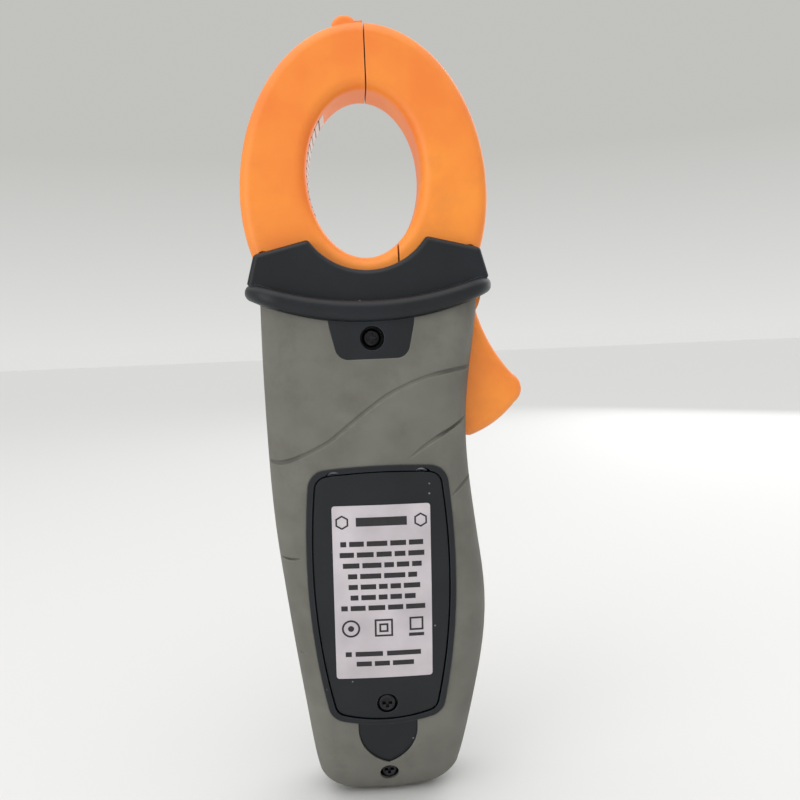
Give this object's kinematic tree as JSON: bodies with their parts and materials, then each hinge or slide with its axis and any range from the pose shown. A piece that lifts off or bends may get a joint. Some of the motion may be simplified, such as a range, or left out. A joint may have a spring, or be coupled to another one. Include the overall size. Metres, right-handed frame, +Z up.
{
  "type": "clamp meter",
  "caption": "Hand-held clamp meter with hinged current jaws, side trigger, rotary selector, display, buttons and a battery door at the rear.",
  "frame": {"origin": "centre of the oval jaw opening, midway between its two faces", "axes": "+Z up towards the jaw tips, -Y out of the face with the display and selector, +Y out of the rear with the battery door, -X the side with the trigger"},
  "size_m": [0.0731, 0.0391, 0.2109],
  "materials": {
    "overmould_grey": "soft grey thermoplastic elastomer, fine moulded texture",
    "abs_dark": "dark blue-grey ABS, fine spark-eroded texture",
    "abs_orange": "orange ABS, satin",
    "abs_black": "black plastic",
    "abs_red": "red plastic",
    "pcb_green": "glass epoxy board with green solder mask",
    "screw_steel": "blackened or zinc-plated steel",
    "core_steel": "stacked silicon-steel laminations",
    "copper_winding": "enamelled copper wire",
    "brass": "bare or plated brass",
    "spring_steel": "music wire",
    "label_silver": null,
    "label_white": "white polyester label",
    "window_clear": "clear acrylic",
    "glass_lcd": "liquid crystal cell",
    "foam_black": "closed-cell foam",
    "battery_case": "printed steel can",
    "button_grey": "silicone-coated plastic",
    "white_plastic": "white plastic"
  },
  "bodies": {
    "root": {"battery": "battery_case", "battery_clip": "abs_black", "battery_lead_black": "abs_black", "battery_lead_red": "abs_red", "bay_screws": "screw_steel", "buzzer": "abs_black", "capacitor": "abs_black", "case_screw_low": "screw_steel", "case_screw_top": "screw_steel", "door_nut": "spring_steel", "fixed_jaw_coil": "copper_winding", "fixed_jaw_core": "core_steel", "fixed_jaw_front_shell": "abs_orange", "fixed_jaw_rear_shell": "abs_orange", "fixed_jaw_screws": "screw_steel", "front_case": "abs_dark", "front_grip": "overmould_grey", "jack_collar_com": "abs_black", "jack_collar_volt": "abs_red", "jack_tubes": "brass", "jaw_label": "label_white", "jaw_leads": "abs_black", "lcd_backlight": "white_plastic", "lcd_frame": "white_plastic", "lcd_glass": "glass_lcd", "lcd_window": "window_clear", "main_chip": "abs_black", "main_pcb": "pcb_green", "pcb_screws": "screw_steel", "pivot_pin": "screw_steel", "precision_resistors": "label_white", "ptc_thermistors": "white_plastic", "rear_case": "abs_dark", "rear_grip": "overmould_grey", "return_spring": "spring_steel", "sensing_foil": "brass", "tact_switches": "abs_black", "zebra_strips": "foam_black"},
    "moving_jaw": {"moving_jaw_front_shell": "abs_orange", "moving_jaw_rear_shell": "abs_orange", "moving_jaw_core": "core_steel", "moving_jaw_screws": "screw_steel", "pivot_bush": "white_plastic", "trigger": "abs_orange", "trigger_pins": "screw_steel"},
    "selector": {"dial_knob": "abs_black", "dial_pointer": "label_white", "contact_carrier": "white_plastic", "detent_spring": "spring_steel", "wiper_contacts": "brass", "dial_screw": "screw_steel"},
    "door": {"battery_door": "abs_dark", "door_label": "label_silver", "door_screw": "screw_steel", "door_washer": "abs_black", "door_pad": "foam_black"},
    "key_mode": {"button_mode": "button_grey"},
    "key_range": {"button_range": "button_grey"},
    "key_hold": {"button_hold": "button_grey"},
    "key_light": {"button_light": "button_grey"}
  },
  "joints": [
    {"name": "jaw_pivot", "type": "hinge", "parent": "root", "child": "moving_jaw", "pos_m": [-0.019, 0, -0.031], "axis": [0, -1, 0], "range_deg": [0, 28], "stiffness_Nm_per_rad": 0.25, "springref_deg": -57.3},
    {"name": "selector_turn", "type": "hinge", "parent": "root", "child": "selector", "pos_m": [0, -0.017, -0.062], "axis": [0, -1, 0], "range_deg": [-150, 150]},
    {"name": "door_hinge", "type": "hinge", "parent": "root", "child": "door", "pos_m": [0, 0.0164, -0.0775], "axis": [1, 0, 0], "range_deg": [0, 60]},
    {"name": "mode_press", "type": "slide", "parent": "root", "child": "key_mode", "axis": [0, 1, 0], "range_m": [0, 0.0006], "stiffness_N_per_m": 800, "springref_m": -0.001},
    {"name": "range_press", "type": "slide", "parent": "root", "child": "key_range", "axis": [0, 1, 0], "range_m": [0, 0.0006], "stiffness_N_per_m": 800, "springref_m": -0.001},
    {"name": "hold_press", "type": "slide", "parent": "root", "child": "key_hold", "axis": [0, 1, 0], "range_m": [0, 0.0006], "stiffness_N_per_m": 800, "springref_m": -0.001},
    {"name": "light_press", "type": "slide", "parent": "root", "child": "key_light", "axis": [0, 1, 0], "range_m": [0, 0.0006], "stiffness_N_per_m": 800, "springref_m": -0.001}
  ]
}
